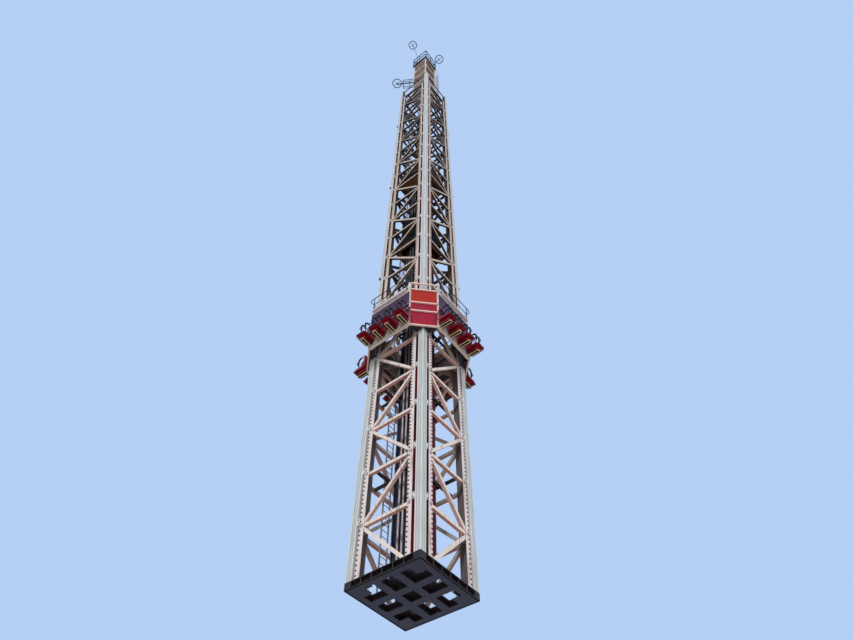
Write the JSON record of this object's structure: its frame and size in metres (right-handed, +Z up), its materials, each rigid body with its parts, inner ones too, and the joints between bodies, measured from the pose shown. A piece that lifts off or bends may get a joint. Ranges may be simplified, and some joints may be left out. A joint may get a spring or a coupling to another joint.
{
  "type": "drop tower ride, 1:2 scale model",
  "caption": "Square lattice mast with corner guide columns, drive cylinders inside, a seated carriage round it that slides up and down, and a slimmer top mast.",
  "frame": {"origin": "centre of the underside of the base frame", "axes": "+Z up the mast, +X and +Y square to the mast's faces, with the corner front_left at -X -Y"},
  "size_m": [3.14, 3.14, 35.926],
  "materials": {
    "column_white": "satin",
    "leg_white": "satin",
    "strut_white": "satin",
    "dark_steel": "satin",
    "cylinder_navy": "satin",
    "pipe_grey": "satin",
    "housing_brown": "matte",
    "top_brown": "satin",
    "light_grey": "satin",
    "frame_white": "satin",
    "panel_red": "satin",
    "panel_crimson": "satin",
    "fascia_purple": "satin",
    "walkway_pink": "satin",
    "rail_dark": "satin",
    "wheel_black": "matte",
    "seat_crimson": "gloss",
    "tube_cream": "satin",
    "gusset_grey": "satin",
    "harness_black": "matte",
    "antenna_dark": "satin"
  },
  "bodies": {
    "mast": {"base_frame": "dark_steel", "corner_legs": "leg_white", "guide_columns": "column_white", "column_ties": "dark_steel", "face_front": "strut_white", "face_right": "strut_white", "face_back": "strut_white", "face_left": "strut_white", "drive_cylinders": "cylinder_navy", "cylinder_braces": "dark_steel", "air_pipes": "pipe_grey", "housing_frame": "dark_steel", "sheave_housing": "housing_brown", "vent_stacks": "dark_steel", "ladder": "light_grey", "cap_frame": "light_grey", "top_mast": "top_brown", "top_platform": "dark_steel", "top_rails": "antenna_dark", "antenna_left": "antenna_dark", "antenna_right": "antenna_dark", "antenna_top": "antenna_dark", "warning_lights": "light_grey"},
    "carriage": {"side_frame_front": "frame_white", "side_frame_right": "frame_white", "side_frame_back": "frame_white", "side_frame_left": "frame_white", "corner_frames": "frame_white", "corner_panels_upper": "panel_red", "corner_panels_lower": "panel_crimson", "fascias": "fascia_purple", "walkways": "walkway_pink", "handrails": "rail_dark", "guide_brackets": "rail_dark", "guide_wheels": "wheel_black", "seats_front": "seat_crimson", "seats_right": "seat_crimson", "seats_back": "seat_crimson", "seats_left": "seat_crimson", "seat_tubes": "tube_cream", "seat_gussets": "gusset_grey"},
    "harness_front": {"harness_front": "harness_black"},
    "harness_right": {"harness_right": "harness_black"},
    "harness_back": {"harness_back": "harness_black"},
    "harness_left": {"harness_left": "harness_black"}
  },
  "joints": [
    {"name": "carriage_travel", "type": "slide", "parent": "mast", "child": "carriage", "axis": [0, 0, 1], "range_m": [-6, 18.1]},
    {"name": "harness_front_hinge", "type": "hinge", "parent": "carriage", "child": "harness_front", "pos_m": [0, -1.237, 6.86], "axis": [-1, 0, 0], "range_deg": [0, 75]},
    {"name": "harness_right_hinge", "type": "hinge", "parent": "carriage", "child": "harness_right", "pos_m": [1.237, 0, 6.86], "axis": [0, -1, 0], "range_deg": [0, 75]},
    {"name": "harness_back_hinge", "type": "hinge", "parent": "carriage", "child": "harness_back", "pos_m": [0, 1.237, 6.86], "axis": [1, 0, 0], "range_deg": [0, 75]},
    {"name": "harness_left_hinge", "type": "hinge", "parent": "carriage", "child": "harness_left", "pos_m": [-1.237, 0, 6.86], "axis": [0, 1, 0], "range_deg": [0, 75]}
  ],
  "couplings": [
    {"joint": "harness_right_hinge", "follows": "harness_front_hinge", "ratio": 1},
    {"joint": "harness_back_hinge", "follows": "harness_front_hinge", "ratio": 1},
    {"joint": "harness_left_hinge", "follows": "harness_front_hinge", "ratio": 1}
  ]
}
